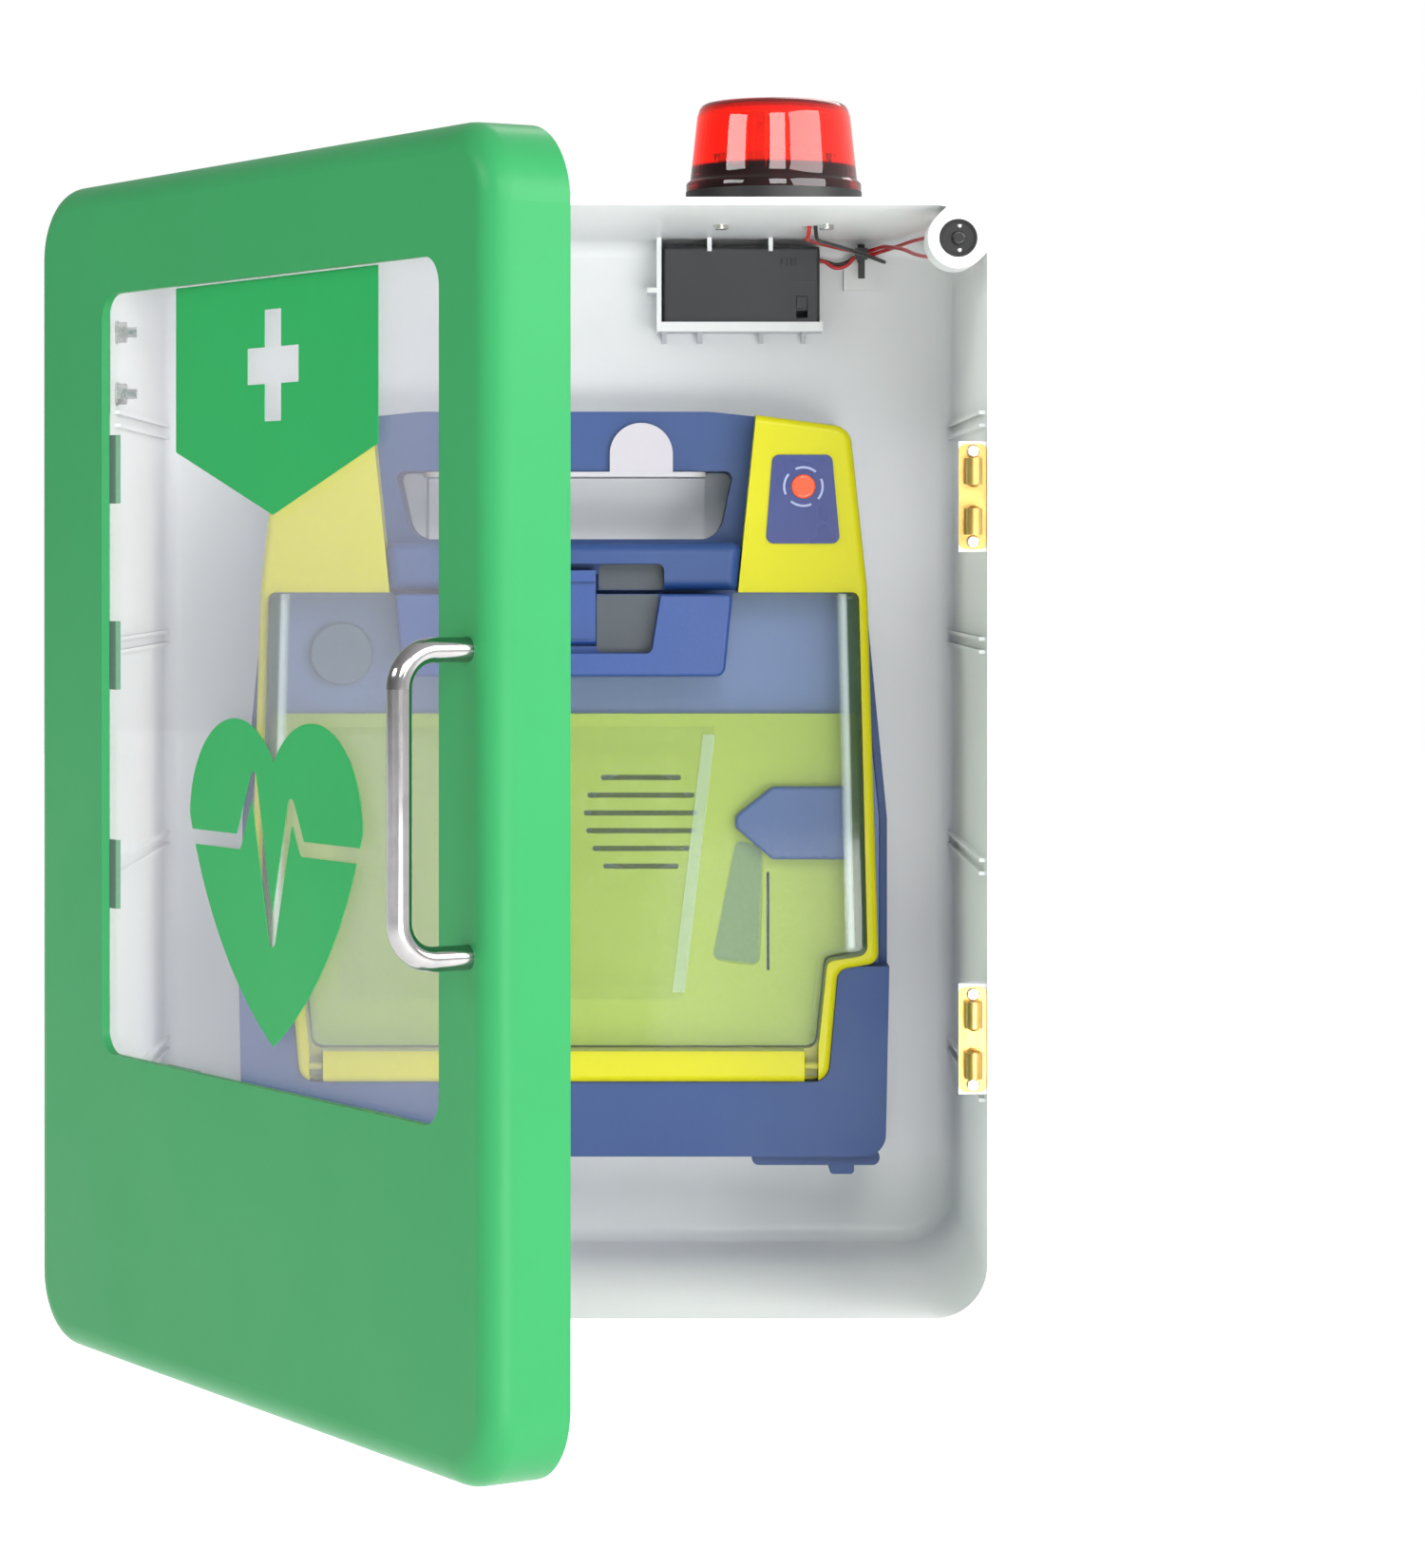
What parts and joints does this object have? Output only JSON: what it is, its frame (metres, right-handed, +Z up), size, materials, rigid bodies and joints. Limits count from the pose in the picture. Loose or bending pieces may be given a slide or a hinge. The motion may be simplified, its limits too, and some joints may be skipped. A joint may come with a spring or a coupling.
{
  "type": "wall cabinet with defibrillator",
  "caption": "Wall cabinet with hinged window door, top strobe and door switch, holding a defibrillator that hangs by its grip on a hook bracket.",
  "frame": {"origin": "centre of the four wall-screw holes at the cabinet's rear face", "axes": "+X to the viewer's right, +Y into the wall, +Z up; the front faces -Y and the door is stored open by 57.9 degrees"},
  "size_m": [0.3586, 0.5103, 0.476],
  "materials": {
    "cabinet_white": "satin",
    "bracket_white": "satin",
    "steel": "satin",
    "stainless": "polished",
    "brass": "polished",
    "spring_steel": "satin",
    "hinge_black": "satin",
    "switch_black": "gloss",
    "strobe_black": "satin",
    "gasket_rubber": "matt",
    "lens_red": "gloss",
    "lamp": "gloss",
    "reflector": "polished",
    "box_black": "satin",
    "cell": "satin",
    "lead_red": "satin",
    "lead_black": "satin",
    "tie_black": "satin",
    "door_green": "satin",
    "pane_clear": "gloss",
    "decal_green": "satin",
    "aed_blue": "satin",
    "aed_blue_light": "satin",
    "aed_yellow": "satin",
    "label_blue": "satin",
    "indicator": "gloss",
    "lid_clear": "gloss",
    "panel_blue": "satin",
    "panel_green": "satin",
    "button_blue": "satin",
    "speaker_dark": "matt",
    "board_green": "satin",
    "capacitor": "satin",
    "pouch_film": "gloss"
  },
  "bodies": {
    "cabinet": {"cabinet_housing": "cabinet_white", "hook_bracket": "bracket_white", "cabinet_screws": "steel", "hinge_cabinet_leaves": "hinge_black", "hinge_pins": "steel", "hinge_bolts": "steel", "catch_bodies": "brass", "catch_springs": "spring_steel", "switch_body": "switch_black", "switch_spring": "spring_steel", "strobe_gasket": "gasket_rubber", "strobe_base": "strobe_black", "strobe_lens": "lens_red", "strobe_lamp": "lamp", "strobe_reflector": "reflector", "strobe_screws": "steel", "battery_box_case": "box_black", "battery_box_cover": "box_black", "battery_cells": "cell", "battery_contacts": "spring_steel", "lead_battery_to_strobe": "lead_black", "lead_battery_to_switch": "lead_red", "lead_switch_to_strobe": "lead_red", "lead_tie": "tie_black", "lead_tie_base": "cabinet_white"},
    "door": {"door_tray": "door_green", "door_pane": "pane_clear", "pane_clips": "door_green", "door_screws": "steel", "door_decals": "decal_green", "door_handle": "stainless", "door_handle_screws": "steel", "catch_strikers": "brass", "hinge_door_leaves": "hinge_black", "hinge_door_bolts": "steel"},
    "catch_ball_upper_top": {"catch_ball_upper_top": "brass"},
    "catch_ball_upper_bottom": {"catch_ball_upper_bottom": "brass"},
    "catch_ball_lower_top": {"catch_ball_lower_top": "brass"},
    "catch_ball_lower_bottom": {"catch_ball_lower_bottom": "brass"},
    "door_switch_plunger": {"switch_plunger": "switch_black"},
    "battery_box_switch": {"battery_box_slider": "box_black"},
    "defibrillator": {"aed_base_shell": "aed_blue", "aed_case_screws": "steel", "aed_front_shell": "aed_yellow", "aed_status_plate": "label_blue", "aed_status_light": "indicator", "aed_top_cover": "aed_blue", "aed_control_panel": "panel_blue", "aed_speaker_panel": "panel_green", "aed_speaker": "speaker_dark", "aed_circuit_board": "board_green", "aed_capacitor": "capacitor", "pads_pouch": "pouch_film", "pads_plug": "aed_blue_light", "aed_lid_pins": "steel"},
    "lid": {"aed_lid_cover": "lid_clear", "aed_lid_latch_panel": "aed_blue_light"},
    "lid_latch": {"aed_lid_latch": "aed_blue_light"},
    "shock_button": {"aed_shock_button": "button_blue"},
    "battery_pack": {"aed_battery_pack": "aed_blue"}
  },
  "joints": [
    {"name": "door_hinge", "type": "hinge", "parent": "cabinet", "child": "door", "pos_m": [-0.174, -0.201, 0], "axis": [0, 0, -1], "range_deg": [-57.9, 107.1]},
    {"name": "catch_ball_upper_top", "type": "slide", "parent": "cabinet", "child": "catch_ball_upper_top", "axis": [0, 0, 1], "range_m": [0, 0.0013], "stiffness_N_per_m": 800, "deforming": ["catch_springs"]},
    {"name": "catch_ball_upper_bottom", "type": "slide", "parent": "cabinet", "child": "catch_ball_upper_bottom", "axis": [0, 0, -1], "range_m": [0, 0.0013], "stiffness_N_per_m": 800, "deforming": ["catch_springs"]},
    {"name": "catch_ball_lower_top", "type": "slide", "parent": "cabinet", "child": "catch_ball_lower_top", "axis": [0, 0, 1], "range_m": [0, 0.0013], "stiffness_N_per_m": 800, "deforming": ["catch_springs"]},
    {"name": "catch_ball_lower_bottom", "type": "slide", "parent": "cabinet", "child": "catch_ball_lower_bottom", "axis": [0, 0, -1], "range_m": [0, 0.0013], "stiffness_N_per_m": 800, "deforming": ["catch_springs"]},
    {"name": "door_switch", "type": "slide", "parent": "cabinet", "child": "door_switch_plunger", "axis": [0, 1, 0], "range_m": [0, 0.0022], "stiffness_N_per_m": 200, "deforming": ["switch_spring"]},
    {"name": "battery_box_switch", "type": "slide", "parent": "cabinet", "child": "battery_box_switch", "axis": [0, 0, -1], "range_m": [0, 0.004]},
    {"name": "defibrillator_lift", "type": "slide", "parent": "cabinet", "child": "defibrillator", "axis": [0, 0, 1], "range_m": [0, 0.025]},
    {"name": "lid_hinge", "type": "hinge", "parent": "defibrillator", "child": "lid", "pos_m": [0.0035, -0.0715, -0.1302], "axis": [1, 0, 0], "range_deg": [0, 90]},
    {"name": "lid_latch", "type": "hinge", "parent": "lid", "child": "lid_latch", "pos_m": [0.0035, -0.071, 0.044], "axis": [1, 0, 0], "range_deg": [0, 12], "stiffness_Nm_per_rad": 0.2},
    {"name": "shock_button", "type": "slide", "parent": "defibrillator", "child": "shock_button", "axis": [0, 1, 0], "range_m": [0, 0.0025], "stiffness_N_per_m": 600},
    {"name": "battery_pack", "type": "slide", "parent": "defibrillator", "child": "battery_pack", "axis": [-1, 0, 0], "range_m": [0, 0.03]}
  ]
}
